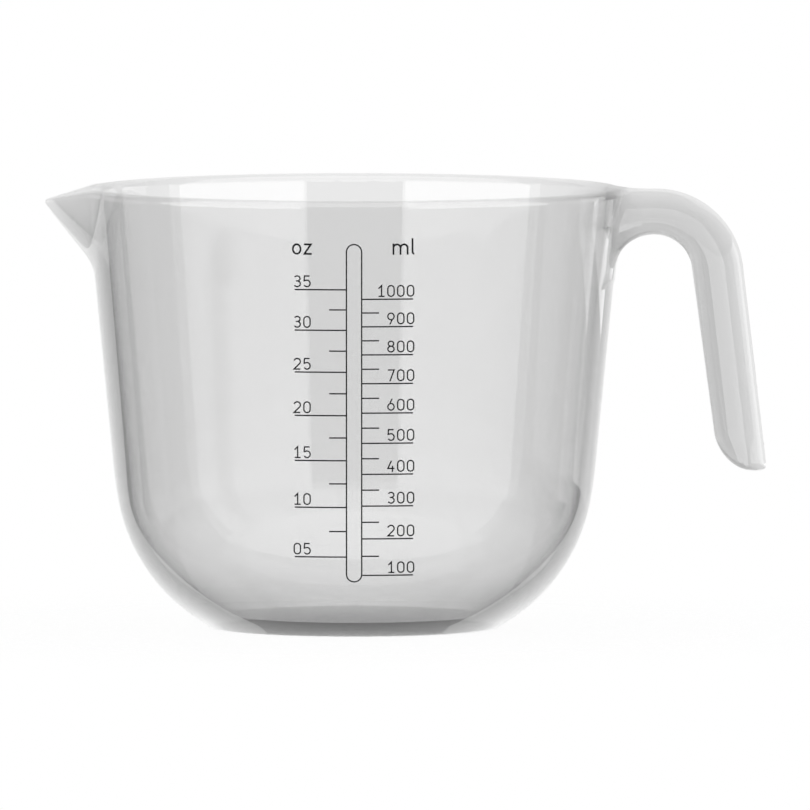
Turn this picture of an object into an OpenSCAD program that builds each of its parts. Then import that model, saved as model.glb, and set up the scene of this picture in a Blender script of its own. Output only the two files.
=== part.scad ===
/* [Bowl] */
// Outer diameter at the rim
rim_d = 145; // [120:0.5:170]
// Height from the resting face to the top of the rim
jug_h = 119; // [105:0.5:140]
// Thickness of the bowl's wall
wall = 4; // [2.4:0.1:4.6]
// Lean of the bowl's wall from upright, in degrees
draft = 5.6; // [3:0.1:7]
// Height at which the wall starts to curve inwards
haunch_z = 44.5; // [42:0.1:50]
// Radius of the long easy curve below the straight wall
haunch_r = 130; // [110:1:180]
// Lean at which the easy curve hands over to the belly, in degrees
haunch_angle = 9.9; // [8:0.1:14]
// Radius of the belly
belly_r = 48.8; // [44:0.1:50]
// Lean of the straight heel above the foot, in degrees
heel_angle = 56; // [50:0.1:59]
// Rounding between the heel and the resting face
foot_edge_r = 1.2; // [0.5:0.1:2]

/* [Cavity] */
// Thickness of the floor
floor_t = 3.4; // [2.5:0.1:6]
// Thickness of the heel, measured square to it
heel_wall = 5.6; // [4.6:0.1:7]
// Radius of the cavity's belly
cavity_r = 33.7; // [28:0.1:38]
// Rounding between the cavity's heel and its floor
floor_corner_r = 1.5; // [0.5:0.1:3]

/* [Spout] */
// Reach of the spout's tip beyond the rim
spout_reach = 11.4; // [8:0.1:16]
// Drop of the spout's tip below the rim
spout_drop = 3.4; // [1:0.1:6]
// Width of the spout where it leaves the rim
spout_w = 38; // [28:0.5:46]
// Depth of the spout where its keel meets the wall
spout_depth = 19.5; // [14:0.1:26]
// Thickness of the spout's wall
spout_wall = 2.4; // [1.6:0.1:3.4]
// Rounding of the spout's tip
tip_r = 1.1; // [0.6:0.1:2]
// Rounding of the keel where it meets the wall
keel_r = 5; // [3:0.1:8]

/* [Handle] */
// Thickness of the handle, from palm side to finger side
handle_t = 13.3; // [11:0.1:16]
// Width of the handle across the palm
handle_w = 24; // [18:0.5:30]
// Gap between the bowl's wall and the arm, at the bend's centre
finger_gap = 20.2; // [20:0.1:26]
// Radius of the bend on its finger side
bend_r = 10; // [8:0.1:12]
// Lean of the handle's arm from upright, in degrees
arm_angle = 7.4; // [4:0.1:10]
// Height of the handle's lowest point
arm_end_z = 42.3; // [34:0.1:60]
// Rounding of the handle's edges on the finger side
finger_edge_r = 1.5; // [1:0.1:3]
// Where the flat flank ends, as a share of the handle's thickness from the finger side
flank_share = 0.24; // [0.16:0.01:0.5]
// Rounding between the flank and the bevel that leads to the palm
shoulder_r = 4; // [2:0.1:6]
// Rounding between the bevel and the palm
crest_edge_r = 3; // [1.5:0.1:4]
// Width of the flat band along the palm
crest_w = 3; // [1:0.1:8]
// Radius of the toe's sweep on the finger side
toe_r = 11.4; // [9:0.1:13]
// Rounding of the toe's corner on the palm side
toe_corner_r = 1.6; // [1:0.1:2.5]
// Rounding of the toe's sides, seen from the palm side
toe_side_r = 7; // [4:0.1:9]

/* [Printed scale] */
// Thickness of the ink
ink_t = 0.08; // [0.05:0.01:0.15]
// Width of a printed line
line_w = 0.37; // [0.25:0.01:0.5]
// Width of the strokes in the two unit names
unit_stroke_w = 0.5; // [0.35:0.01:0.7]
// Width over the central column
column_w = 4.45; // [3:0.05:6]
// Distance from the column's lower end to the lowest line
column_foot_gap = 2; // [1:0.1:4]
// Distance from the column's upper end to the rim
column_top_gap = 11.4; // [8:0.1:16]
// Reach of the long millilitre lines from the centre
ml_reach = 15.8; // [12:0.1:18]
// Reach of the long ounce lines from the centre
oz_reach = 15.9; // [12:0.1:18]
// Reach of the half-step ticks from the centre
tick_reach = 6.7; // [5:0.1:9]
// Height of the numerals
digit_h = 3.25; // [2.4:0.05:3.6]
// Width of a numeral
digit_w = 2.05; // [1.5:0.05:2.3]
// Distance from one numeral to the next
digit_pitch = 2.62; // [2:0.01:3]
// Gap between a long line and the numeral on it
digit_lift = 0.6; // [0.3:0.05:1]
// Overhang of the numerals past the end of their line
digit_overhang = 0.35; // [0:0.05:1]
// Distance from the baseline of the two unit names to the rim
unit_drop = 14.4; // [12:0.1:18]
// Least gap between a unit name and the highest numeral
unit_clear = 0.5; // [0.3:0.1:3]
// Height of a small letter in the unit names
unit_h = 3.05; // [2:0.05:4]

/* [Volume] */
// Millilitres in one fluid ounce
ml_per_oz = 29.5735; // [28.4131, 29.5735]
// Millilitres by which the printed lines lie below the cavity's own levels
print_allow_ml = 10; // [0:1:20]

/* [Hidden] */

// One overrun serves every cut
cut = 1;
// Fineness of the long profile curves, in degrees, and of the true rounds
arc_step = 3;
$fn = 96;
clear_plastic = [0.80, 0.82, 0.82, 0.55];
ink = [0.15, 0.16, 0.17];

// Points on a circle of radius r about c; angles run anticlockwise from +X
function arc(c, r, from, to, step = arc_step) =
    let (n = max(1, ceil(abs(to - from) / step)))
    [for (i = [0:n]) let (a = from + (to - from) * i / n) c + r * [cos(a), sin(a)]];

// Square to a wall that leans by a, pointing out and down
function lean_normal(a) = [cos(a), -sin(a)];

// Radius at height z on the straight wall whose offset along its normal is d
function wall_r(d, a, z) = (d + z * sin(a)) / cos(a);

// The point whose distances along two normals are d and e
function meet(a, d, b, e) =
    let (p = lean_normal(a), q = lean_normal(b), k = p[0] * q[1] - p[1] * q[0])
    [(d * q[1] - e * p[1]) / k, (p[0] * e - q[0] * d) / k];

// Outer profile of the bowl: straight wall, easy haunch, belly and straight heel
rim_r = rim_d / 2;
haunch_c = [wall_r(rim_r * cos(draft) - jug_h * sin(draft), draft, haunch_z), haunch_z]
    - haunch_r * lean_normal(draft);
belly_c = haunch_c + (haunch_r - belly_r) * lean_normal(haunch_angle);
wall_d = rim_r * cos(draft) - jug_h * sin(draft);
heel_d = belly_c * lean_normal(heel_angle) + belly_r;
foot_edge_c = [wall_r(heel_d - foot_edge_r, heel_angle, foot_edge_r), foot_edge_r];
foot_r = foot_edge_c[0];

// The same profile pushed out by g, from the resting face up to height top
function outer_profile(g, top) = concat(
    arc(foot_edge_c, foot_edge_r + g, -90, -heel_angle, 3 * arc_step),
    arc(belly_c, belly_r + g, -heel_angle, -haunch_angle),
    arc(haunch_c, haunch_r + g, -haunch_angle, -draft, arc_step / 2),
    [[wall_r(wall_d + g, draft, top), top]]
);

// Cavity: straight wall, one belly and a heel parallel to the outer one
cavity_wall_d = wall_d - wall;
cavity_heel_d = heel_d - heel_wall;
cavity_c = meet(draft, cavity_wall_d - cavity_r, heel_angle, cavity_heel_d - cavity_r);
corner_z = floor_t + floor_corner_r;
corner_c = [wall_r(cavity_heel_d - floor_corner_r, heel_angle, corner_z), corner_z];
cavity_profile = concat(
    [[0, floor_t]],
    arc(corner_c, floor_corner_r, -90, -heel_angle, 3 * arc_step),
    arc(cavity_c, cavity_r, -heel_angle, -draft)
);

// The rim is a full round on top of the wall
rim_round = wall / 2;
rim_c_z = jug_h - rim_round;
rim_c = [wall_r(wall_d - rim_round, draft, rim_c_z), rim_c_z];
// How far round the rim the handle and the spout reach, in degrees
rim_cover = 60;

// Radius of the cavity at height z, and the millilitres below it
function cavity_radius(z) =
    z > cavity_c[1] - cavity_r * sin(draft) ? wall_r(cavity_wall_d, draft, z)
    : z > cavity_c[1] - cavity_r * sin(heel_angle) ?
        cavity_c[0] + sqrt(cavity_r * cavity_r - pow(cavity_c[1] - z, 2))
    : wall_r(cavity_heel_d, heel_angle, z);
fill_steps = 160;
fill_step = (jug_h - floor_t) / fill_steps;
mm3_per_ml = 1000;
fill_table = [
    for (i = 0, v = 0; i <= fill_steps; i = i + 1,
         v = v + PI * pow(cavity_radius(floor_t + (i - 0.5) * fill_step), 2) * fill_step / mm3_per_ml)
    [v, floor_t + i * fill_step]
];
function mark_z(ml) = lookup(ml - print_allow_ml, fill_table);

// The scale's long lines. Their step is the largest round one with which the highest
// numeral stays clear of the unit name, and half steps lie between the long lines.
unit_base_z = jug_h - unit_drop;
highest_z = unit_base_z - unit_clear - digit_h - digit_lift;
ml_count = 10;
oz_count = 7;
function scale_step(steps, count, ml) = max([for (s = steps) if (mark_z(s * count * ml) <= highest_z) s]);
ml_step = scale_step([1, 2, 5, 10, 20, 50, 100, 200, 500], ml_count, 1);
oz_step = scale_step([0.1, 0.2, 0.5, 1, 2, 5, 10, 20], oz_count, ml_per_oz);
ml_marks = [for (i = [1:ml_count]) i * ml_step];
oz_marks = [for (i = [1:oz_count]) i * oz_step];
ml_halves = [for (i = [1:ml_count - 1]) (i + 1 / 2) * ml_step];
oz_halves = [for (i = [1:oz_count - 1]) (i + 1 / 2) * oz_step];
column_foot_z = mark_z(ml_marks[0]) - column_foot_gap;
column_top_z = jug_h - column_top_gap;

// Turn of the bowl's front that the ink lies within: a whole number of the bowl's facets
ink_sector = 45;

// Places on the spout
tip_x = -(rim_r + spout_reach);
spout_root_x = -wall_r(wall_d, draft, jug_h - spout_depth);

// Places on the handle: the bend's centre, the arm and the toe
palm_bend_r = bend_r + handle_t;
bend_c = [wall_r(wall_d, draft, jug_h - palm_bend_r) + finger_gap - bend_r, jug_h - palm_bend_r];
arm_drop = (bend_c[1] + bend_r * sin(arm_angle) - arm_end_z) / cos(arm_angle);
arm_len = arm_drop + handle_t * tan(arm_angle) / 2;
toe_rest = handle_t - toe_r;

module bowl_solid() {
    rotate_extrude()
        polygon(concat(
            [[0, 0]],
            outer_profile(0, rim_c_z - rim_round * sin(draft)),
            arc(rim_c, rim_round, -draft, 180 - draft, 4 * arc_step),
            [for (i = [len(cavity_profile) - 1:-1:0]) cavity_profile[i]]
        ));
}

// Everything inside the bowl's outer surface, to trim what joins on to it
module bowl_envelope() {
    rotate_extrude()
        polygon(concat(
            [[0, 0]],
            outer_profile(0, rim_c_z - rim_round * sin(draft)),
            arc(rim_c, rim_round, -draft, rim_cover, 4 * arc_step),
            [[rim_c[0] + rim_round * cos(rim_cover), jug_h + cut], [0, jug_h + cut]]
        ));
}

// A beak between the wall and the tip; inset pulls every face in by that much
module beak(inset, rise) {
    hull() {
        translate([tip_x + tip_r + 2 * inset, 0, jug_h - spout_drop - tip_r + rise])
            sphere(r = tip_r, $fn = 24);
        translate([spout_root_x + keel_r, 0, jug_h - spout_depth + keel_r + 1.6 * inset])
            sphere(r = keel_r - inset / 2, $fn = 32);
        for (side = [-1, 1])
            translate([-rim_r + wall, side * (spout_w / 2 - tip_r - inset), jug_h - tip_r + rise])
                sphere(r = tip_r, $fn = 24);
    }
}

// The channel that the water runs down, open at the top and into the bowl
module pouring_channel() {
    hull() {
        for (rise = [0, 2 * spout_drop])
            translate([tip_x + tip_r + 2 * spout_wall, 0, jug_h - spout_drop + rise])
                sphere(r = tip_r, $fn = 24);
        translate([spout_root_x + keel_r, 0, jug_h - spout_depth + keel_r + 1.6 * spout_wall])
            sphere(r = keel_r - spout_wall / 2, $fn = 32);
        for (side = [-1, 1], rise = [0, 2 * spout_drop])
            translate([-rim_r + wall, side * (spout_w / 2 - tip_r - spout_wall), jug_h + rise])
                sphere(r = tip_r, $fn = 24);
    }
}

module bowl() {
    color(clear_plastic)
        difference() {
            bowl_solid();
            pouring_channel();
        }
}

module spout() {
    color(clear_plastic)
        difference() {
            beak(0, 0);
            pouring_channel();
            bowl_envelope();
        }
}

// Section of the handle: x runs from the bend's centre out to the palm. From the flat
// flank a bevel leads to the palm, at the turn that touches the rounds at both its ends.
crest_c = [palm_bend_r - crest_edge_r, crest_w / 2];
shoulder_c = [bend_r + flank_share * handle_t, handle_w / 2 - shoulder_r];
bevel_run = shoulder_c - crest_c;
bevel_turn = atan2(bevel_run[1], bevel_run[0]) - acos((crest_edge_r - shoulder_r) / norm(bevel_run));
grip_finger = [bend_r + finger_edge_r, handle_w / 2 - finger_edge_r];
grip_step = 3 * arc_step;
seam_slim = 0.02;
seam_lap = 0.5;
module grip_section(slim) {
    finger_r = finger_edge_r - slim;
    shoulder = shoulder_r - slim;
    crest = crest_edge_r - slim;
    polygon(concat(
        arc([grip_finger[0], -grip_finger[1]], finger_r, 180, 270, grip_step),
        arc([shoulder_c[0], -shoulder_c[1]], shoulder, 270, 360 - bevel_turn, grip_step),
        arc([crest_c[0], -crest_c[1]], crest, 360 - bevel_turn, 360, grip_step),
        arc(crest_c, crest, 0, bevel_turn, grip_step),
        arc(shoulder_c, shoulder, bevel_turn, 90, grip_step),
        arc(grip_finger, finger_r, 90, 180, grip_step)
    ));
}

// The handle before its toe is shaped. The root and the arm are a hair slimmer
// than the bend and reach a little way into it, so that no faces coincide.
module grip_run() {
    // root bar
    translate([rim_r - wall, 0, bend_c[1]])
        rotate([90, 0, 90])
            linear_extrude(height = bend_c[0] + seam_lap - rim_r + wall)
                rotate(90)
                    grip_section(seam_slim);
    // bend
    translate([bend_c[0], 0, bend_c[1]])
        rotate([90, 0, 0])
            rotate([0, 0, arm_angle])
                rotate_extrude(angle = 90 - arm_angle)
                    grip_section(0);
    // arm
    translate([bend_c[0], 0, bend_c[1]])
        rotate([0, -arm_angle, 0])
            translate([0, 0, -arm_len])
                linear_extrude(height = arm_len + seam_lap)
                    grip_section(seam_slim);
}

// Side view of the arm down to the toe's sweep on the finger side
module toe_side() {
    c = [bend_r + toe_r, -arm_len + toe_r];
    polygon(concat(
        [[bend_r - cut, 0], [bend_r - cut, c[1]]],
        arc(c, toe_r, 180, 270),
        arc([palm_bend_r - toe_corner_r, -arm_len + toe_corner_r], toe_corner_r, 270, 360),
        [[palm_bend_r + cut, c[1]], [palm_bend_r + cut, 0]]
    ));
}

// Front view of the arm down to the toe, with rounded corners, up to height top
module toe_front(top) {
    y = (handle_w + cut) / 2;
    polygon(concat(
        arc([toe_side_r - y, toe_side_r - arm_len], toe_side_r, 180, 270, grip_step),
        arc([y - toe_side_r, toe_side_r - arm_len], toe_side_r, 270, 360, grip_step),
        [[y, top], [-y, top]]
    ));
}

// Everything above the toe's outline, in side and front view
module toe_envelope() {
    far = arm_len + palm_bend_r;
    intersection() {
        translate([bend_c[0], 0, bend_c[1]])
            rotate([0, -arm_angle, 0])
                rotate([90, 0, 0])
                    translate([0, 0, -handle_w])
                        linear_extrude(height = 2 * handle_w)
                            union() {
                                toe_side();
                                translate([-far, 0])
                                    square([2 * far, far]);
                                translate([-far, -far])
                                    square([far + bend_r - cut, 2 * far]);
                            }
        translate([bend_c[0], 0, bend_c[1]])
            rotate([0, -arm_angle, 0])
                rotate([0, 0, 90])
                    rotate([90, 0, 0])
                        translate([0, 0, -2 * far])
                            linear_extrude(height = 3 * far)
                                toe_front(far);
    }
}

module handle() {
    color(clear_plastic)
        difference() {
            union() {
                intersection() {
                    grip_run();
                    toe_envelope();
                }
                root_web();
            }
            bowl_envelope();
        }
}

// The web under the root, which carries the bend's finger side on to the bowl.
// It is a hair slimmer too, and stops short of the bend.
module root_web() {
    wall_x = wall_r(wall_d, draft, bend_c[1]) - wall;
    web_y = grip_finger[1] - seam_slim;
    top_z = jug_h - handle_t / 2;
    translate([0, web_y, 0])
        rotate([90, 0, 0])
            linear_extrude(height = 2 * web_y)
                difference() {
                    translate([wall_x, bend_c[1]])
                        square([bend_c[0] - seam_lap - wall_x, top_z - bend_c[1]]);
                    translate(bend_c)
                        circle(r = bend_r + 2 * seam_slim);
                }
}

// The two faces of the ink on the front of the bowl
module ink_skin() {
    inside = outer_profile(0, jug_h - wall);
    outside = outer_profile(ink_t, jug_h - wall);
    rotate([0, 0, -90 - ink_sector / 2])
        rotate_extrude(angle = ink_sector)
            polygon(concat(
                inside,
                [for (i = [len(outside) - 1:-1:0]) outside[i]]
            ));
}

// Prints a flat drawing (x across, y up) on the front of the bowl
module printed() {
    color(ink)
        intersection() {
            ink_skin();
            rotate([90, 0, 0])
                linear_extrude(height = rim_r + cut)
                    children();
        }
}

// A level line at height z between two distances from the centre
module level_line(z, from, to) {
    translate([min(from, to), z - line_w / 2])
        square([abs(to - from), line_w]);
}

// Outline at half a stroke's width to one side of a path, mitred at its corners
function side_of(p, w) = [
    for (i = [0:len(p) - 1])
    let (
        a = p[max(i - 1, 0)], b = p[i], c = p[min(i + 1, len(p) - 1)],
        u = i == 0 ? (c - b) / norm(c - b) : (b - a) / norm(b - a),
        v = i == len(p) - 1 ? u : (c - b) / norm(c - b),
        m = u + v,
        n = [-m[1], m[0]] / norm(m),
        k = norm(m) / 2
    )
    b + n * w / 2 / k
];

// An open stroke of width w along path p
module stroke(p, w) {
    left = side_of(p, w);
    right = side_of(p, -w);
    polygon(concat(left, [for (i = [len(right) - 1:-1:0]) right[i]]));
}

// An upright oval ring of width w about c, with radii a and b
module oval_ring(c, a, b, w) {
    difference() {
        polygon(oval(c, a + w / 2, b + w / 2, 0, ring_turn));
        polygon(oval(c, a - w / 2, b - w / 2, 0, ring_turn));
    }
}

// Points on an upright oval
letter_step = 15;
ring_turn = 360 - letter_step;
function oval(c, a, b, from, to) =
    let (n = ceil(abs(to - from) / letter_step))
    [for (i = [0:n]) let (t = from + (to - from) * i / n) c + [a * cos(t), b * sin(t)]];

// One numeral, drawn on the middle of its stroke from shares of its width and height
module numeral(n) {
    w = digit_w - line_w;
    h = digit_h - line_w;
    r = w / 2;
    waist_turn = 70;
    bowl_share = 0.31;
    low_share = 0.265;
    translate([line_w / 2, line_w / 2]) {
        if (n == 0)
            difference() {
                rounded_bar_upright(line_w / 2);
                rounded_bar_upright(-line_w / 2);
            }
        if (n == 1) {
            stroke([[0.08 * w, 0.72 * h], [0.56 * w, h], [0.56 * w, 0]], line_w);
            stroke([[0.08 * w, 0], [1.04 * w, 0]], line_w);
        }
        if (n == 2)
            stroke(concat(oval([r, h - r], r, r, 165, -38), [[0, 0], [w, 0]]), line_w);
        if (n == 3) {
            stroke(concat(
                oval([r, h - (0.5 - low_share) * h], 0.92 * r, (0.5 - low_share) * h, 150, -90),
                [[0.6 * r, 2 * low_share * h]]
            ), line_w);
            stroke(oval([r, low_share * h], r, low_share * h, waist_turn, -150), line_w);
        }
        if (n == 4) {
            stroke([[0.58 * w, h], [0, 0.27 * h], [1.05 * w, 0.27 * h]], line_w);
            stroke([[0.74 * w, 0.52 * h], [0.74 * w, -line_w / 2]], line_w);
        }
        if (n == 5)
            stroke(concat(
                [[0.92 * w, h], [0.1 * w, h], [0.05 * w, 0.56 * h]],
                oval([r, bowl_share * h], r, bowl_share * h, 115, -150)
            ), line_w);
        if (n == 6)
            six(r, w, h, bowl_share);
        if (n == 7)
            stroke([[0, h], [w, h], [0.32 * w, -line_w / 2]], line_w);
        if (n == 8) {
            oval_ring([r, low_share * h], r, low_share * h, line_w);
            oval_ring([r, h - (0.5 - low_share) * h], 0.86 * r, (0.5 - low_share) * h, line_w);
        }
        if (n == 9)
            translate([w, h])
                rotate(180)
                    six(r, w, h, bowl_share);
    }
}

// A six: a round bowl with a straight stem that leans back over it
module six(r, w, h, bowl_share) {
    c = [r, bowl_share * h];
    stem_share = 0.66;
    difference() {
        union() {
            polygon(oval(c, r + line_w / 2, c[1] + line_w / 2, 0, ring_turn));
            polygon([
                [stem_share * w - line_w / 2, h + line_w / 2],
                [stem_share * w + line_w * stem_share, h + line_w / 2],
                c + [r * cos(100), c[1] * sin(100)],
                c + [r * cos(172), c[1] * sin(172)]
            ]);
        }
        polygon(oval(c, r - line_w / 2, c[1] - line_w / 2, 0, ring_turn));
    }
}

// The outline of a nought, pushed out by g
module rounded_bar_upright(g) {
    w = digit_w - line_w + 2 * g;
    h = digit_h - line_w + 2 * g;
    translate([-g, -g])
        polygon(concat(
            oval([w / 2, h - w / 2], w / 2, w / 2, 0, 180),
            oval([w / 2, w / 2], w / 2, w / 2, 180, 360)
        ));
}

// Digits side by side, starting at x = 0
module number(digits) {
    for (i = [0:len(digits) - 1])
        translate([i * digit_pitch, 0])
            numeral(digits[i]);
}

// The digits of v, with at least least of them
function digits_of(v, least) =
    v < 10 && least <= 1 ? [v] : concat(digits_of(floor(v / 10), least - 1), [v % 10]);
function number_w(digits) = (len(digits) - 1) * digit_pitch + digit_w;

module scale_column() {
    printed()
        difference() {
            column_outline(0);
            column_outline(line_w);
        }
}

// The column's outline, drawn in by g
module column_outline(g) {
    r = column_w / 2 - g;
    polygon(concat(
        arc([0, column_top_z - column_w / 2], r, 0, 180, letter_step),
        arc([0, column_foot_z + column_w / 2], r, 180, 360, letter_step)
    ));
}

module ml_lines() {
    printed()
        for (v = ml_marks)
            level_line(mark_z(v), column_w / 2, ml_reach);
}

module ml_half_ticks() {
    printed()
        for (v = ml_halves)
            level_line(mark_z(v), column_w / 2, tick_reach);
}

module ml_numerals() {
    printed()
        for (v = ml_marks) {
            digits = digits_of(v, 3);
            translate([ml_reach + digit_overhang - number_w(digits), mark_z(v) + digit_lift])
                number(digits);
        }
}

module oz_lines() {
    printed()
        for (v = oz_marks)
            level_line(mark_z(v * ml_per_oz), -column_w / 2, -oz_reach);
}

module oz_half_ticks() {
    printed()
        for (v = oz_halves)
            level_line(mark_z(v * ml_per_oz), -column_w / 2, -tick_reach);
}

module oz_numerals() {
    printed()
        for (v = oz_marks)
            translate([-oz_reach - digit_overhang, mark_z(v * ml_per_oz) + digit_lift])
                number(digits_of(v, 2));
}

// The letters l and m, ending at the right-hand edge of the millilitre lines
module ml_unit_name() {
    s = unit_stroke_w;
    x_h = unit_h - s;
    tall_h = 1.45 * unit_h;
    hump_r = 0.31 * unit_h;
    l_x = ml_reach + digit_overhang - s;
    m_x = l_x - 0.35 * unit_h - 4 * hump_r - s / 2;
    printed()
        translate([0, unit_base_z]) {
            stroke(concat([[l_x, tall_h]], arc([l_x + s, s + s / 2], s, 180, 270, letter_step)), s);
            for (i = [0:1])
                translate([m_x + 2 * i * hump_r, 0])
                    stroke(concat(
                        arc([hump_r, x_h - hump_r + s / 2], hump_r, 180, 0, letter_step),
                        [[2 * hump_r, 0]]
                    ), s);
            stroke([[m_x, 0], [m_x, unit_h]], s);
        }
}

// The letters o and z, starting at the left-hand edge of the ounce lines
module oz_unit_name() {
    s = unit_stroke_w;
    x_h = unit_h - s;
    o_w = 0.84 * unit_h;
    z_w = 0.68 * unit_h;
    gap = 0.22 * unit_h;
    printed()
        translate([-oz_reach - digit_overhang - line_w, unit_base_z]) {
            oval_ring([o_w / 2, unit_h / 2], (o_w - s) / 2, x_h / 2, s);
            translate([o_w + gap, s / 2])
                stroke([[0, x_h], [z_w - s / 2, x_h], [s / 4, 0], [z_w, 0]], s);
        }
}

bowl();
spout();
handle();
scale_column();
ml_lines();
ml_half_ticks();
ml_numerals();
ml_unit_name();
oz_lines();
oz_half_ticks();
oz_numerals();
oz_unit_name();
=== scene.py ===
# %% [markdown]
# # A clear measuring jug
#
# The jug is one clear moulding: a bowl, a beak to pour from and a hook to hold. A scale in
# millilitres and fluid ounces is printed on its front. The solids come from the frame. Here the
# moulding gets the soft joints and rounded edges of the real one, and every surface its material.
#
# Three solids with a bevel on each could do for an opaque jug. In a clear one, every inner face
# shows, so bowl, beak and handle have to be one skin. The moulding is therefore described by one
# function, `jug(x, y, z)`, which says how far a point is from the plastic: negative inside it,
# positive outside. Distances are easy to join and to round, so the beak and the handle flow into
# the bowl without a seam.

# %% The frame
import math

import bpy
import numpy as np
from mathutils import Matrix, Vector


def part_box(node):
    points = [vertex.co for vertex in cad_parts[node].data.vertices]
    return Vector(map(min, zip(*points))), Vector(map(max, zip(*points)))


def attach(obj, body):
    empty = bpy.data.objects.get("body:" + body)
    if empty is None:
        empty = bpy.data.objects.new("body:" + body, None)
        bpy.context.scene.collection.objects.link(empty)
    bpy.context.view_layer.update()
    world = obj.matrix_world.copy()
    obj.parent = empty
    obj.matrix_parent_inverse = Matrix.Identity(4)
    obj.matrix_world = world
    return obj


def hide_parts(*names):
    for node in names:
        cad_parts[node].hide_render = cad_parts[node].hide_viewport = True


MM = 0.001
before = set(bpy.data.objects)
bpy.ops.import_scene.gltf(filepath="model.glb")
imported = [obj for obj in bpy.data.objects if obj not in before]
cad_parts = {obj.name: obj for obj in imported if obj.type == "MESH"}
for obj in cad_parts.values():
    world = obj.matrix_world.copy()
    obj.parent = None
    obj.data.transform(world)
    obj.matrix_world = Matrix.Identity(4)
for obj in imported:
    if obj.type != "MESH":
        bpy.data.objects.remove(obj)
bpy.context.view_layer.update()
print("frame nodes:", ", ".join(sorted(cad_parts)))

# %% [markdown]
# ## Sizes
#
# All lengths are in millimetres and all angles in degrees. The height, the rim and the handle's
# reach are read from the frame; the rest are the moulding's own wall, radii and leans.

# %% Sizes
bowl_low, bowl_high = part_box("bowl")
handle_low, handle_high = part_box("handle")
spout_low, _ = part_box("spout")

HEIGHT = bowl_high[2] / MM
WALL = 4.0
DRAFT = math.radians(5.6)
RIM_ROUND = WALL / 2
RIM_R = bowl_high[1] / MM + RIM_ROUND * (math.tan(DRAFT) + 1 / math.cos(DRAFT) - 1)

HAUNCH_Z, HAUNCH_R, HAUNCH_LEAN = 44.5, 130.0, math.radians(9.9)
BELLY_R, HEEL_LEAN = 48.8, math.radians(56)
FOOT_EDGE_R = 1.2
FLOOR, HEEL_WALL, CAVITY_R, FLOOR_CORNER_R = 3.4, 5.6, 33.7, 1.5
STRAIGHT_DOWN = math.radians(90)
print(f"height {HEIGHT:.1f} mm, rim radius {RIM_R:.1f} mm")

# %% [markdown]
# ## Tangent arcs
#
# Seen from the side, a moulded bowl is a chain of arcs and straight runs that touch without a
# corner. It could be drawn as a curve and spun, but then nothing could be joined to it softly.
# A straight run needs no entry of its own: it is where one arc ends and the next begins with the
# same lean, so the arcs alone give the distance to the whole chain.

# %% Distance to a chain of arcs
def convex(u, v, arcs):
    """Distance to a convex outline of arcs, each (centre, radius, first lean, last lean)."""
    far = None
    for (cu, cv), radius, first, last in arcs:
        middle, half = (first + last) / 2, (last - first) / 2
        turn = (np.arctan2(v - cv, u - cu) - middle + math.pi) % (2 * math.pi) - math.pi
        lean = middle + np.clip(turn, -half, half)
        d = (u - cu) * np.cos(lean) + (v - cv) * np.sin(lean) - radius
        far = d if far is None else np.maximum(far, d)
    return far


def on_wall(d, lean, z):
    """Radius at height z of a wall that leans out by lean and passes the origin at distance d."""
    return (d + z * math.sin(lean)) / math.cos(lean)


def meeting(lean_a, a, lean_b, b):
    """The point at distance a square to one wall and b square to the other."""
    rows = [[math.cos(lean_a), -math.sin(lean_a)], [math.cos(lean_b), -math.sin(lean_b)]]
    return np.linalg.solve(rows, [a, b])


def square_to(lean):
    """The direction square to a wall that leans out by lean."""
    return np.array([math.cos(lean), -math.sin(lean)])


print("an arc of radius 2 from its own centre:", convex(0.0, 0.0, [((0, 0), 2.0, -1.0, 1.0)]))

# %% [markdown]
# ## The bowl and its cavity
#
# Outside, a nearly straight wall turns through a wide haunch and a tighter belly into a flat heel
# that stands on a small edge. Inside, one large round leads from the wall to the heel, which makes
# the plastic thicker there. The foot and the cavity's floor are flat, as the last arc ends level.

# %% The bowl and its cavity
wall_d = RIM_R * math.cos(DRAFT) - HEIGHT * math.sin(DRAFT)
haunch_c = np.array([on_wall(wall_d, DRAFT, HAUNCH_Z), HAUNCH_Z]) - HAUNCH_R * square_to(DRAFT)
belly_c = haunch_c + (HAUNCH_R - BELLY_R) * square_to(HAUNCH_LEAN)
heel_d = belly_c @ square_to(HEEL_LEAN) + BELLY_R
foot_c = (on_wall(heel_d - FOOT_EDGE_R, HEEL_LEAN, FOOT_EDGE_R), FOOT_EDGE_R)
BOWL = [
    (foot_c, FOOT_EDGE_R, -STRAIGHT_DOWN, -HEEL_LEAN),
    (belly_c, BELLY_R, -HEEL_LEAN, -HAUNCH_LEAN),
    (haunch_c, HAUNCH_R, -HAUNCH_LEAN, -DRAFT),
]

cavity_heel_d = heel_d - HEEL_WALL
cavity_c = meeting(DRAFT, wall_d - WALL - CAVITY_R, HEEL_LEAN, cavity_heel_d - CAVITY_R)
corner_z = FLOOR + FLOOR_CORNER_R
corner_c = (on_wall(cavity_heel_d - FLOOR_CORNER_R, HEEL_LEAN, corner_z), corner_z)
CAVITY = [
    (corner_c, FLOOR_CORNER_R, -STRAIGHT_DOWN, -HEEL_LEAN),
    (cavity_c, CAVITY_R, -HEEL_LEAN, -DRAFT),
]
print(f"foot radius {foot_c[0]:.1f} mm, cavity floor radius {corner_c[0]:.1f} mm")

# %% [markdown]
# ## Joining and rounding
#
# A moulding has no sharp edge and no sharp corner. `blend` joins two solids with a soft fillet.
# `rounded` keeps what lies inside both of two faces and rounds the edge where they meet, and
# `soft_edge` does the same with a flatter curve. `between` leads a size from one value to another.

# %% Joining and rounding
def blend(a, b, width):
    """Both solids, with a soft fillet where they meet."""
    near = np.maximum(width - np.abs(a - b), 0) / width
    return np.minimum(a, b) - near * near * width / 4


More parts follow.
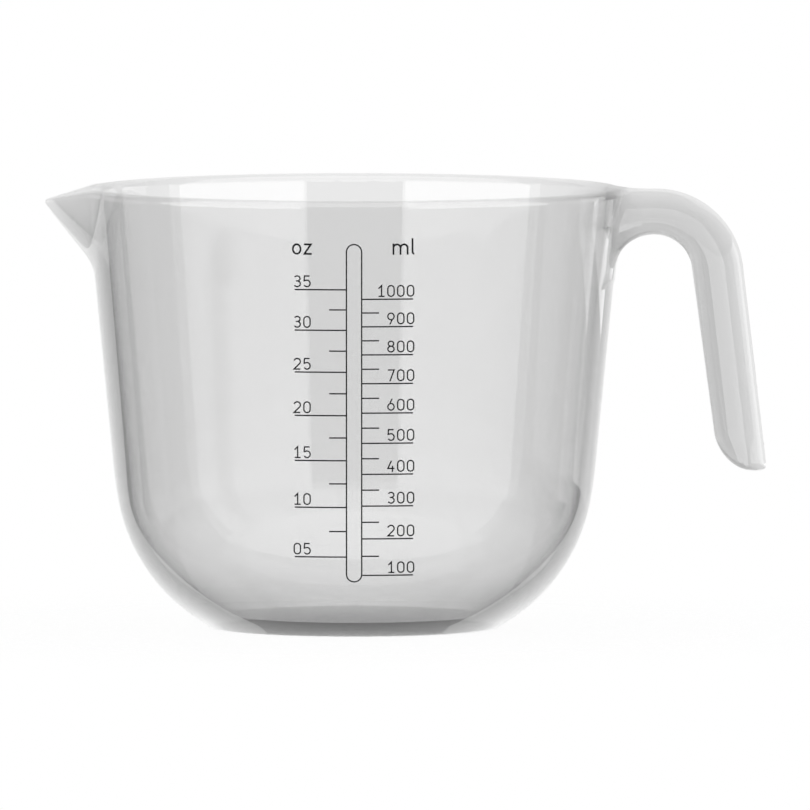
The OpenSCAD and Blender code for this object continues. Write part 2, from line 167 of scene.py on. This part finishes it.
def rounded(a, b, radius):
    """What lies inside both faces, with a round edge between them."""
    a, b = a + radius, b + radius
    return np.hypot(np.maximum(a, 0), np.maximum(b, 0)) + np.minimum(np.maximum(a, b), 0) - radius


def soft_edge(a, b, width):
    """What lies inside both faces, with a flatter curve for an edge."""
    return -blend(-a, -b, width)


def between(a, b, share):
    """A smooth way from a, at share 0, to b, at share 1."""
    share = np.clip(share, 0, 1)
    return a + (b - a) * share * share * (3 - 2 * share)


print(f"where two faces cross, a blend 2 mm wide fills {-blend(0.0, 0.0, 2.0):.2f} mm")

# %% [markdown]
# ## The beak
#
# The beak is half a cone laid on its side. Its point is the spout's tip, its mouth is let into the
# wall, and its lip drops a little towards the tip. Across the cone the section is a pointed oval,
# which gives the soft keel that the water leaves by. A lofted sheet would give the outside alone;
# as a distance, the same cone a wall's thickness further in is the channel.

# %% The beak
TIP_ROUND = 1.0
LIP_DROP = 3.4
MOUTH_HALF, MOUTH_DEEP = 18.3, 20.4
POINTED = 1.45
TIP_WALL, MOUTH_WALL = 1.9, 3.6
BEAK_END = 60.0
KEEL_FILLET = 2.0

mouth_x = -math.sqrt(RIM_R ** 2 - MOUTH_HALF ** 2)
tip_x = spout_low[0] / MM
reach = mouth_x - tip_x
flank = MOUTH_HALF / reach
keel = MOUTH_DEEP / reach
lip_slope = LIP_DROP / reach
apex_x = tip_x - TIP_ROUND / flank


def lip_height(x):
    """Height of the lip over the beak: level with the rim at the mouth, lower at the tip."""
    return np.minimum(HEIGHT, HEIGHT - LIP_DROP + lip_slope * (x - tip_x))


def beak(x, y, z):
    """Distance to the beak's outside, and to the channel inside it."""
    along = x - apex_x
    side = np.sqrt(y * y + TIP_ROUND ** 2)
    q = side / flank
    w = np.maximum(HEIGHT - LIP_DROP + lip_slope * (x - tip_x) - z, 0) / keel
    s = (q ** POINTED + w ** POINTED) ** (1 / POINTED)
    qs, ws = (q / s) ** (POINTED - 1), (w / s) ** (POINTED - 1)
    tilt = ws * lip_slope / keel - 1
    steep = np.sqrt(tilt ** 2 + (qs * y / side / flank) ** 2 + (ws / keel) ** 2)
    outside = (s - along) / steep
    channel = outside + TIP_WALL + (MOUTH_WALL - TIP_WALL) * np.clip((x - tip_x) / reach, 0, 1)
    end = x + BEAK_END
    return np.maximum(outside, end), np.maximum(channel, end)


print(f"beak reach {reach:.1f} mm, tip at x = {tip_x:.1f} mm")

# %% [markdown]
# ## The handle
#
# From the side, the handle lies between two outlines: the palm side, which is level with the rim
# and turns down through a wide bend, and the finger side, an arch that ends in the arm. Across, it
# has two flat flanks. Half-way to the palm they lean in as a bevel, and then once more as a
# narrower crest. A plain rounded bar would show one long highlight, but the real arm shows three
# bands: each plane mirrors another part of the studio and gets a tone of its own. All edges between
# them are soft, and the toe sweeps up to the finger side in one large curve.

# %% The handle
FLANK_INSET = 0.2
HANDLE_HALF = (handle_high[1] - handle_low[1]) / 2 / MM - FLANK_INSET
PALM_LEAN, PALM_BEND_R = math.radians(6.8), 24.0
FINGER_LEAN, FINGER_BEND_R = math.radians(7.7), 10.2
ARCH_Z = 106.6
ROOT_OVERLAP = 1.4
PALM_AT, FINGER_AT = (108.6, 70.2), (94.7, 70.3)
TOE_Z, TOE_R, TOE_CORNER_R = 42.4, 10.8, 1.6
FINGER_EDGES, PALM_EDGE, TOE_EDGE = (4.0, 2.4), 2.7, 1.2
BEVEL_TURN, BEVEL_DEEP, BEVEL_SOFT = math.radians(48), 7.5, 2.5
CREST_TURN, CREST_DEEP, CREST_SOFT = math.radians(30), 5.9, 1.3
TOE_BEVEL = 4.0
FLANK_TAPER = 0.6
LOW_ARM_Z, LEAST_DEPTH = 60.0, 1.0
ROOT_FLARE, FLARE_RUN, FLARE_LIMIT, ROOT_FILLET = 3.0, 8.0, 2.0, 2.5
ROOT_INSIDE = 6.0


def lean_d(point, lean):
    """Distance from the origin to a line with this lean through a point."""
    return point[0] * math.cos(lean) + point[1] * math.sin(lean)


def bend_centre(point, lean, radius, top):
    """Centre of an arc that touches a level line at top and a leaning line through a point."""
    z = top - radius
    return ((lean_d(point, lean) - radius - z * math.sin(lean)) / math.cos(lean), z)


palm_c = bend_centre(PALM_AT, PALM_LEAN, PALM_BEND_R, HEIGHT)
finger_c = bend_centre(FINGER_AT, FINGER_LEAN, FINGER_BEND_R, ARCH_Z)
UP, LEFT = math.radians(90), math.radians(180)
PALM = [(palm_c, PALM_BEND_R, PALM_LEAN, UP)]
root_r = FINGER_BEND_R + ROOT_OVERLAP
FINGER = [
    (finger_c, FINGER_BEND_R, FINGER_LEAN, UP),
    ((finger_c[0], ARCH_Z - root_r), root_r, UP, LEFT),
]
root_z = ARCH_Z - root_r
WALL_TOP_R = on_wall(wall_d, DRAFT, ARCH_Z)
print(f"centre of the palm's bend: {palm_c[0]:.1f}, {palm_c[1]:.1f} mm")
print(f"centre of the fingers' bend: {finger_c[0]:.1f}, {finger_c[1]:.1f} mm")

# %% The handle's section
def handle(x, y, z):
    """Distance to the handle, which reaches a little into the bowl's wall."""
    palm = convex(x, z, PALM)
    gap = convex(x, z, FINGER)
    toe = TOE_Z - z
    side = np.maximum(rounded(-gap, toe, TOE_R), rounded(palm, toe, TOE_CORNER_R))
    depth = np.clip(gap / np.maximum(gap - palm, LEAST_DEPTH), 0, 1)
    low = (ARCH_Z - z) / (ARCH_Z - LOW_ARM_Z)
    edge = between(between(*FINGER_EDGES, low), PALM_EDGE, depth)
    edge = between(TOE_EDGE, edge, (z - TOE_Z) / TOE_R)
    flare = ROOT_FLARE * np.clip(1 - (x - WALL_TOP_R) / FLARE_RUN, 0, FLARE_LIMIT) ** 2
    flanks = np.abs(y) - HANDLE_HALF + FLANK_TAPER * depth * depth - flare
    deep = between(TOE_BEVEL, BEVEL_DEEP, (z - TOE_Z) / TOE_R)
    bevel = (palm + deep) * math.cos(BEVEL_TURN) + flanks * math.sin(BEVEL_TURN)
    crest = (palm + CREST_DEEP) * math.cos(CREST_TURN) + flanks * math.sin(CREST_TURN)
    solid = soft_edge(rounded(side, flanks, edge), soft_edge(bevel, crest, CREST_SOFT), BEVEL_SOFT)
    below_root = np.maximum(x - finger_c[0], z - root_z)
    return np.maximum(np.maximum(solid, -below_root), RIM_R - WALL / 2 - ROOT_INSIDE - x)


arm_x, arm_z = (PALM_AT[0] + FINGER_AT[0]) / 2, PALM_AT[1]
print(f"from the middle of the arm to its nearest face: {-handle(arm_x, 0.0, arm_z):.1f} mm")

# %% [markdown]
# ## The whole moulding
#
# The outsides of the bowl and the beak are blended, and so are the hollows inside them. What lies
# between is the wall, and its upper edge is rounded over from both sides: on the bowl that is the
# full-round rim, on the beak the lip. The handle is blended on last. Its fillet would swell above
# the rim, so everything is cut level with it, and the hollow is cut free once more.

# %% The whole moulding
MOUTH_FILLET = 2.5
LEAST_ROUND = 0.3


def jug(x, y, z):
    """Distance to the whole moulding, in millimetres."""
    r = np.hypot(x, y)
    beak_outside, channel = beak(x, y, z)
    outside = blend(convex(r, z, BOWL), beak_outside, KEEL_FILLET)
    hollow = blend(convex(r, z, CAVITY), channel, MOUTH_FILLET)
    half = -(outside - hollow) / 2
    middle = np.abs(outside + hollow) / 2
    edge = np.clip(half, LEAST_ROUND, RIM_ROUND)
    shell = rounded(middle - half, z - lip_height(x), edge)
    whole = np.maximum(blend(shell, handle(x, y, z), ROOT_FILLET), z - HEIGHT)
    return np.maximum(whole, -hollow)


half_way = HEIGHT / 2
mid_wall = on_wall(wall_d - WALL / 2, DRAFT, half_way)
print(f"from the middle of the wall to its faces: {-jug(0.0, mid_wall, half_way):.2f} mm")

# %% [markdown]
# ## From distances to a mesh
#
# Blender can turn a volume into a mesh, but its steps would show as ripples in the gloss. Here the
# distance is sampled on a grid, and each cell that the surface passes through gets one vertex.
# Neighbouring vertices are joined into quads. Then each vertex slides on to the true surface along
# the slope of the distance, which is also its normal, so the mesh mirrors like a polished face.

# %% The grid and its first vertices
CELL = 0.9
SLIDES = 5
FEELER = 0.002
LEAST_SLOPE = 0.1
MARGIN = 2
CELL_CORNERS = 8


def sample(lo, count):
    """The distance at every point of the grid, one level at a time."""
    axes = [lo[i] + CELL * np.arange(count[i]) for i in range(3)]
    x, y = axes[0][:, None], axes[1][None, :]
    return np.stack([jug(x, y, z) for z in axes[2]], axis=2)


def first_vertices(field, cells, lo):
    """Mean of the places where the surface crosses the edges of each cell."""
    corners = [(i, j, k) for i in (0, 1) for j in (0, 1) for k in (0, 1)]
    value = {c: field[cells[:, 0] + c[0], cells[:, 1] + c[1], cells[:, 2] + c[2]] for c in corners}
    total, hits = np.zeros((len(cells), 3)), np.zeros(len(cells))
    for a in corners:
        for axis in range(3):
            if a[axis]:
                continue
            b = tuple(1 if i == axis else a[i] for i in range(3))
            cross = (value[a] < 0) != (value[b] < 0)
            t = np.where(cross, value[a] / np.where(cross, value[a] - value[b], 1), 0)
            place = np.repeat(np.array(a, float)[None], len(cells), axis=0)
            place[:, axis] += t
            total += place * cross[:, None]
            hits += cross
    return lo + CELL * (cells + total / hits[:, None])


print(f"cell size {CELL} mm")

# %% Quads and normals
def quads(inside, index):
    """One quad round each grid edge that the surface crosses, facing out."""
    found = []
    for axis in range(3):
        order = [axis, (axis + 1) % 3, (axis + 2) % 3]
        a, ids = np.transpose(inside, order), np.transpose(index, order)
        first, second = a[:-1, 1:-1, 1:-1], a[1:, 1:-1, 1:-1]
        i, j, k = np.nonzero(first != second)
        around = (ids[i, j, k], ids[i, j + 1, k], ids[i, j + 1, k + 1], ids[i, j, k + 1])
        ring = np.stack(around, axis=1)
        found.append(np.where(first[i, j, k][:, None], ring, ring[:, ::-1]))
    return np.concatenate(found)


def slope(p):
    """The direction in which the distance grows, at each point."""
    steps = np.eye(3) * FEELER
    return np.stack([jug(*(p + s).T) - jug(*(p - s).T) for s in steps], axis=1) / (2 * FEELER)


on_face = np.array([[0.0, on_wall(wall_d, DRAFT, half_way), half_way]])
print("half-way up, the outside of the wall faces", slope(on_face)[0].round(2))

# %% The moulding's surface
low = np.array([spout_low[0], bowl_low[1], bowl_low[2]]) / MM - MARGIN * CELL
high = np.array([handle_high[0], bowl_high[1], bowl_high[2]]) / MM + MARGIN * CELL
field = sample(low, np.ceil((high - low) / CELL).astype(int) + 1)
inside = field < 0
span = np.array(inside.shape) - 1
mixed = sum(
    inside[i:span[0] + i, j:span[1] + j, k:span[2] + k].astype(int)
    for i in (0, 1) for j in (0, 1) for k in (0, 1)
)
cells = np.argwhere((mixed > 0) & (mixed < CELL_CORNERS))
index = np.full(mixed.shape, -1)
index[tuple(cells.T)] = np.arange(len(cells))
points = first_vertices(field, cells, low)
for _ in range(SLIDES):
    n = slope(points)
    step = (jug(*points.T) / np.maximum((n * n).sum(axis=1), LEAST_SLOPE))[:, None] * n
    points -= np.clip(step, -CELL / 2, CELL / 2)
normals = slope(points)
normals /= np.linalg.norm(normals, axis=1)[:, None]
print(f"{len(points)} vertices, largest error {np.abs(jug(*points.T)).max():.4f} mm")

# %% The moulding in the scene
mesh = bpy.data.meshes.new("moulding")
mesh.from_pydata((points * MM).tolist(), [], quads(inside, index).tolist())
mesh.shade_smooth()
mesh.normals_split_custom_set_from_vertices(normals.tolist())
moulding = bpy.data.objects.new("moulding", mesh)
bpy.context.scene.collection.objects.link(moulding)
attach(moulding, "root")
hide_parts("bowl", "spout", "handle")
print(f"moulding: {len(mesh.polygons)} faces")

# %% [markdown]
# ## Materials
#
# Colours are written as in any paint program and turned into the linear values that light needs.
# One function adds a node, sets it and links it, so a material reads as a short list. Inputs that
# share a name are linked by their order, all others by name.

# %% A small material kit
def colour(code):
    """Linear colour from a six-digit hex code."""
    parts = [int(code[i:i + 2], 16) / 255 for i in (1, 3, 5)]
    return [c / 12.92 if c <= 0.04045 else ((c + 0.055) / 1.055) ** 2.4 for c in parts] + [1]


def add(tree, kind, settings=None, *in_order, **by_name):
    """Adds a node. Settings go to its inputs or properties, the rest are outputs to link to it."""
    node = tree.nodes.new(kind)
    for name, value in (settings or {}).items():
        if name in node.inputs:
            node.inputs[name].default_value = value
        else:
            setattr(node, name, value)
    for socket, output in zip(node.inputs, in_order):
        tree.links.new(output, socket)
    for name, output in by_name.items():
        tree.links.new(output, node.inputs[name.replace("_", " ")])
    return node


def new_material(name):
    """A material with an empty node tree."""
    material = bpy.data.materials.new(name)
    material.use_nodes = True
    material.node_tree.nodes.clear()
    return material, material.node_tree


print("mid grey, linear:", [round(c, 3) for c in colour("#808080")])

# %% [markdown]
# ### Clear styrene
#
# Such jugs are moulded in a clear styrene plastic against a polished steel mould, which gives the
# eye a glassy skin without any texture. The plastic has a faint grey of its own. It only shows
# where light travels far through it: at the sides of the bowl, in the foot and along the handle,
# so it is a volume that absorbs, and hardly a tint of the surface.
#
# Styrene usually bends light with an IOR of about 1.57. But in this jug the far side is seen
# without any shift, so the body is given an IOR of 1. The gloss of the polished mould lies on it as
# a coat with the usual IOR of 1.5.

# %% Clear styrene
ABSORB_COLOUR = "#bababa"
ABSORB_PER_M = 44.0
SURFACE_GREY = "#f8f8f8"

styrene, tree = new_material("clear styrene")
body = add(tree, "ShaderNodeBsdfPrincipled", {
    "Base Color": colour(SURFACE_GREY), "Roughness": 0.0, "IOR": 1.0, "Transmission Weight": 1.0,
    "Coat Weight": 1.0, "Coat Roughness": 0.02, "Coat IOR": 1.5,
})
grey = add(tree, "ShaderNodeVolumeAbsorption",
           {"Color": colour(ABSORB_COLOUR), "Density": ABSORB_PER_M})
add(tree, "ShaderNodeOutputMaterial", None, Surface=body.outputs[0], Volume=grey.outputs[0])
moulding.data.materials.append(styrene)
wall_share = math.exp(-ABSORB_PER_M * (1 - colour(ABSORB_COLOUR)[0]) * WALL * MM)
print(f"one wall lets {wall_share:.0%} of the light through its grey")

# %% [markdown]
# ### Scale ink
#
# The scale is screen printed: a thin film of dark ink, pushed through a fine mesh on to the curved
# wall. It is less glossy than the plastic and mirrors little. A picture on the wall could carry the
# scale too, but solids stay sharp from near by. Those for every line and numeral come from the
# frame and only need the ink. The mesh's grain, about 0.15 mm, is at the limit of what the picture
# shows, so it only varies the roughness a little.

# %% Scale ink
INK_COLOUR = "#141416"
GRAIN_MM = 0.15
NOISE_LOW, NOISE_HIGH = 0.3, 0.7
INK_SPECULAR = 0.2
SMOOTHEST, ROUGHEST = 0.45, 0.6

ink, tree = new_material("scale ink")
place = add(tree, "ShaderNodeTexCoord")
grain = add(tree, "ShaderNodeTexNoise", {"Scale": 1 / (GRAIN_MM * MM), "Detail": 2.0},
            Vector=place.outputs["Object"])
film = add(tree, "ShaderNodeMapRange", {
    "From Min": NOISE_LOW, "From Max": NOISE_HIGH, "To Min": SMOOTHEST, "To Max": ROUGHEST,
}, Value=grain.outputs["Fac"])
print_film = add(tree, "ShaderNodeBsdfPrincipled", {
    "Base Color": colour(INK_COLOUR), "Specular IOR Level": INK_SPECULAR,
}, Roughness=film.outputs[0])
add(tree, "ShaderNodeOutputMaterial", None, Surface=print_film.outputs[0])
printed = [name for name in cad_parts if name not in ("bowl", "spout", "handle")]
for name in printed:
    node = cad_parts[name]
    node.data.materials.clear()
    node.data.materials.append(ink)
print("printed nodes:", len(printed))

# %% [markdown]
# ## The studio
#
# A clear jug is drawn by what it mirrors. A real studio has lamps and boards for this; lamps here
# would also light the table and fill the plastic with glare. So the boards are cards that glow
# evenly, and that only mirrored rays meet: all others pass through them. The soft boxes at the
# front sides give the tall pale panels, the darker room behind the camera gives the band between
# them, and grey flags at the sides and rear draw the edges. The wall leans out towards the rim, so
# its outside mirrors the bench, which is dark in front and white behind.
#
# Upright cards stand in a circle: from azimuth, to azimuth, lower height, upper height, light.
# Level cards lie in it: from azimuth, to azimuth, near, far, height, light. Azimuths are in degrees
# from the camera's side, positive to the right; lengths are in metres.

# %% The cards
CARD_R = 1.6
BENCH_Z, CARD_TOP, RING_TOP = -0.02, 0.5, 1.5
NEAR_TO, STEP_FAR = 0.4, 0.95
WALL_CARDS = [
    ("room behind the camera", -22.6, 22.6, 0, CARD_TOP, 0.35),
    ("soft box left", -90, -22.6, 0, CARD_TOP, 2.75),
    ("soft box right", 22.6, 90, 0, CARD_TOP, 2.75),
    ("strip light edge", 90, 114, 0, CARD_TOP, 0.8),
    ("strip light", 114, 136, 0, CARD_TOP, 1.5),
    ("grey flag rear", 136, 270, 0, CARD_TOP, 0.7),
    ("high soft box", -88, 88, CARD_TOP, RING_TOP, 2.0),
    ("high flag right", 88, 140, CARD_TOP, RING_TOP, 0.3),
    ("high flag rear", 140, 220, CARD_TOP, RING_TOP, 0.8),
    ("high flag left", 220, 272, CARD_TOP, RING_TOP, 0.3),
]
LEVEL_CARDS = [
    ("ceiling front", -100, 100, 0, CARD_R, RING_TOP, 1.6),
    ("ceiling rear", 100, 260, 0, CARD_R, RING_TOP, 0.3),
    ("dark bench", -88, 88, NEAR_TO, CARD_R, BENCH_Z, 0.05),
    ("bench left", -136, -88, NEAR_TO, CARD_R, BENCH_Z, 0.15),
    ("bench right", 88, 124, NEAR_TO, CARD_R, BENCH_Z, 0.5),
    ("reflector near", 124, 148, NEAR_TO, STEP_FAR, BENCH_Z, 1.2),
    ("reflector far", 124, 148, STEP_FAR, CARD_R, BENCH_Z, 2.4),
    ("white sweep", 148, 224, NEAR_TO, CARD_R, BENCH_Z, 1.0),
]
print(f"cards: {len(WALL_CARDS)} upright, {len(LEVEL_CARDS)} level")

# %% [markdown]
# ### One card
#
# Glossy Depth counts how often a ray has been mirrored. Cut off at 1, it switches between clear and
# glowing. So a ray that is mirrored inside the jug and leaves through another wall still meets the
# card, while the camera looks through it at the white backdrop.

# %% One card
def glowing(name, corners, faces, light):
    """A card with an even light, which only mirrored rays meet."""
    shape = bpy.data.meshes.new(name)
    shape.from_pydata(corners, [], faces)
    obj = bpy.data.objects.new(name, shape)
    bpy.context.scene.collection.objects.link(obj)
    material, tree = new_material(name)
    path = add(tree, "ShaderNodeLightPath")
    mirrored = add(tree, "ShaderNodeMath", {"operation": "MINIMUM"}, path.outputs["Glossy Depth"])
    mirrored.inputs[1].default_value = 1
    clear = add(tree, "ShaderNodeBsdfTransparent")
    glow = add(tree, "ShaderNodeEmission", {"Color": (1, 1, 1, 1), "Strength": light})
    mix = add(tree, "ShaderNodeMixShader", None,
              mirrored.outputs[0], clear.outputs[0], glow.outputs[0])
    add(tree, "ShaderNodeOutputMaterial", None, Surface=mix.outputs[0])
    material.cycles.emission_sampling = "NONE"
    shape.materials.append(material)
    obj.visible_camera = False
    obj.visible_diffuse = False
    obj.visible_shadow = False


# %% The cards in their places
CARD_STEPS = 24


def on_circle(degrees, z, radius):
    """A point at an azimuth from the camera's side."""
    return (radius * math.sin(math.radians(degrees)), -radius * math.cos(math.radians(degrees)), z)


def strip(name, first, last, inner, outer, light):
    """A card swept between two azimuths, from one (distance, height) to another. Each azimuth is a
    pair: for the inner edge and for the outer edge."""
    corners = []
    for step in range(CARD_STEPS + 1):
        for edge, (radius, z) in enumerate((inner, outer)):
            turn = first[edge] + (last[edge] - first[edge]) * step / CARD_STEPS
            corners.append(on_circle(turn, z, radius))
    faces = [(2 * i, 2 * i + 1, 2 * i + 3, 2 * i + 2) for i in range(CARD_STEPS)]
    glowing(name, corners, faces, light)


for name, first, last, low_z, high_z, light in WALL_CARDS:
    strip(name, (first, first), (last, last), (CARD_R, low_z), (CARD_R, high_z), light)
for name, first, last, near, far, z, light in LEVEL_CARDS:
    strip(name, (first, first), (last, last), (near, z), (far, z), light)
widest = max(row[2] - row[1] for row in WALL_CARDS + LEVEL_CARDS)
print(f"widest card: {widest} degrees, {widest / CARD_STEPS:.1f} to a step")

# %% [markdown]
# ### Rings round the foot
#
# The belly and the heel curve under, so they mirror the bench close to the foot, each height of the
# jug another distance from it. A straight edge between the dark front and the white rear would cut
# across the heel. Here that edge follows a curve, made of narrow rings, and the heel gets the broad
# pale band that runs round the real one. The rear is a little brighter right behind the foot.

# %% Rings round the foot
FRONT_TO, NEAR_FROM, NEAR_BANDS = 88, 0.03, 16
EDGE_TO, EDGE_SWING, EDGE_RUN = 137.0, 105.0, 0.0875
NEAR_FRONT, NEAR_SIDE = 0.6, 0.15
REAR_EXTRA, REAR_FROM, REAR_RUN = 0.5, 0.06, 0.04


def light_from(distance):
    """Azimuth where the bench near the foot turns from dark to light."""
    return EDGE_TO - EDGE_SWING * math.exp(-distance / EDGE_RUN)


rings = [NEAR_FROM * (NEAR_TO / NEAR_FROM) ** (k / NEAR_BANDS) for k in range(NEAR_BANDS + 1)]
for k, (near, far) in enumerate(zip(rings, rings[1:])):
    ends = ((near, BENCH_Z), (far, BENCH_Z))
    edge = (light_from(near), light_from(far))
    front = tuple(min(FRONT_TO, turn) for turn in edge)
    rear_light = 1 + REAR_EXTRA * math.exp(-max(near - REAR_FROM, 0) / REAR_RUN)
    # The front is lightest at the foot and darkens to the bench beyond.
    front_light = NEAR_FRONT * ((NEAR_TO - near) / (NEAR_TO - far / 2))
    strip(f"near front {k}", tuple(-t for t in front), front, *ends, front_light)
    strip(f"near rear {k}", edge, tuple(360 - t for t in edge), *ends, rear_light)
    if edge[1] > FRONT_TO:
        strip(f"near right {k}", front, edge, *ends, NEAR_SIDE)
        strip(f"near left {k}", tuple(-t for t in edge), tuple(-t for t in front), *ends, NEAR_SIDE)
print(f"rings round the foot: {NEAR_BANDS}, the last turns light at {edge[1]:.0f} degrees")

# %% [markdown]
# ### Backdrop
#
# All light that isn't mirrored from a card comes from a plain white world, which is also what the
# camera sees behind the jug and through it.

# %% Backdrop
world = bpy.data.worlds.new("white backdrop")
bpy.context.scene.world = world
world.use_nodes = True
backdrop = world.node_tree.nodes["Background"]
backdrop.inputs["Color"].default_value = (1, 1, 1, 1)
backdrop.inputs["Strength"].default_value = 1.0
print("backdrop strength:", backdrop.inputs["Strength"].default_value)

# %% [markdown]
# ### Floor
#
# The jug stands on a matt white table, which would look grey beside the white backdrop. So its
# material is mostly lifted to white for the camera and for rays that passed through the jug, and
# keeps a little of the jug's shadow. Under the foot it is lifted less: a disc of painted shade, so
# that the jug's shadow shows darker there, partly rendered and partly painted by the smaller lift.
# Away from the foot it fades into the backdrop, so it needs no horizon. Mirrored rays pass through
# it to the cards of the bench.

# %% Floor
FLOOR_R, FLOOR_Z, FLOOR_SIDES = 0.2, -0.0001, 96

bpy.ops.mesh.primitive_circle_add(
    vertices=FLOOR_SIDES, radius=FLOOR_R, fill_type="NGON", location=(0, 0, FLOOR_Z))
floor = bpy.context.object
floor.name = "floor"
floor.visible_glossy = False
print(f"floor radius {FLOOR_R} m")

# %% The floor's white
FLOOR_COLOUR = "#f4f4f4"
FADE_FROM = 0.08
LIFT, LIFT_UNDER = 0.95, 0.5
FOOT_R, FOOT_SOFT = 0.0375, 0.002

table, tree = new_material("white table")
path = add(tree, "ShaderNodeLightPath")
seen = add(tree, "ShaderNodeMath", {"operation": "MAXIMUM"},
           path.outputs["Is Camera Ray"], path.outputs["Is Transmission Ray"])
spot = add(tree, "ShaderNodeTexCoord")
away = add(tree, "ShaderNodeVectorMath", {"operation": "LENGTH"}, spot.outputs["Object"])
# Less white in a disc under the foot: painted shade, which lets the jug's rendered shadow show
# darker there.
lift = add(tree, "ShaderNodeMapRange", {
    "From Min": FOOT_R - FOOT_SOFT, "From Max": FOOT_R + FOOT_SOFT,
    "To Min": LIFT_UNDER, "To Max": LIFT,
}, Value=away.outputs["Value"])
share = add(tree, "ShaderNodeMath", {"operation": "MULTIPLY"}, seen.outputs[0], lift.outputs[0])
paint = add(tree, "ShaderNodeBsdfDiffuse", {"Color": colour(FLOOR_COLOUR)})
white = add(tree, "ShaderNodeEmission", {"Color": (1, 1, 1, 1), "Strength": 1.0})
lifted = add(tree, "ShaderNodeMixShader", None,
             share.outputs[0], paint.outputs[0], white.outputs[0])
fade = add(tree, "ShaderNodeMapRange", {
    "interpolation_type": "SMOOTHSTEP",
    "From Min": FADE_FROM, "From Max": FLOOR_R, "To Min": 1.0, "To Max": 0.0,
}, Value=away.outputs["Value"])
clear = add(tree, "ShaderNodeBsdfTransparent")
faded = add(tree, "ShaderNodeMixShader", None,
            fade.outputs[0], clear.outputs[0], lifted.outputs[0])
add(tree, "ShaderNodeOutputMaterial", None, Surface=faded.outputs[0])
floor.data.materials.append(table)
print(f"white under the foot {LIFT_UNDER:.0%}, beside it {LIFT:.0%}, fading from {FADE_FROM} m")

# %% [markdown]
# ## Camera
#
# The picture was taken from far away with a long lens, from just above the rim's height: the rim
# and the foot are both very flat ovals, and the left and right walls lean alike. One picture point
# is 0.27 mm at the jug. The bowl's axis and the foot's centre have known places in the picture, and
# they fix the point that the camera looks at. The view transform is Standard, so that white stays
# white.

# %% Camera
PICTURE_W = 810
MM_PER_POINT = 0.27
AXIS_X, FOOT_Y = 354.5, 627.0
ELEVATION = math.radians(3.5)
DISTANCE = 8.0
SENSOR = 36.0
SEES_TO = 100.0

target = Vector((
    (PICTURE_W / 2 - AXIS_X) * MM_PER_POINT * MM,
    0,
    (FOOT_Y - PICTURE_W / 2) * MM_PER_POINT * MM / math.cos(ELEVATION),
))
back = Vector((0, -math.cos(ELEVATION), math.sin(ELEVATION)))
lens = bpy.data.cameras.new("camera")
lens.sensor_width = SENSOR
lens.lens = SENSOR * DISTANCE / (PICTURE_W * MM_PER_POINT * MM)
lens.clip_end = SEES_TO
camera = bpy.data.objects.new("camera", lens)
camera.location = target + back * DISTANCE
camera.rotation_euler = (-back).to_track_quat("-Z", "Y").to_euler()
bpy.context.scene.collection.objects.link(camera)
bpy.context.scene.camera = camera
bpy.context.scene.view_settings.view_transform = "Standard"
print(f"lens {lens.lens:.0f} mm, looking at {target.x / MM:.1f}, {target.z / MM:.1f} mm")
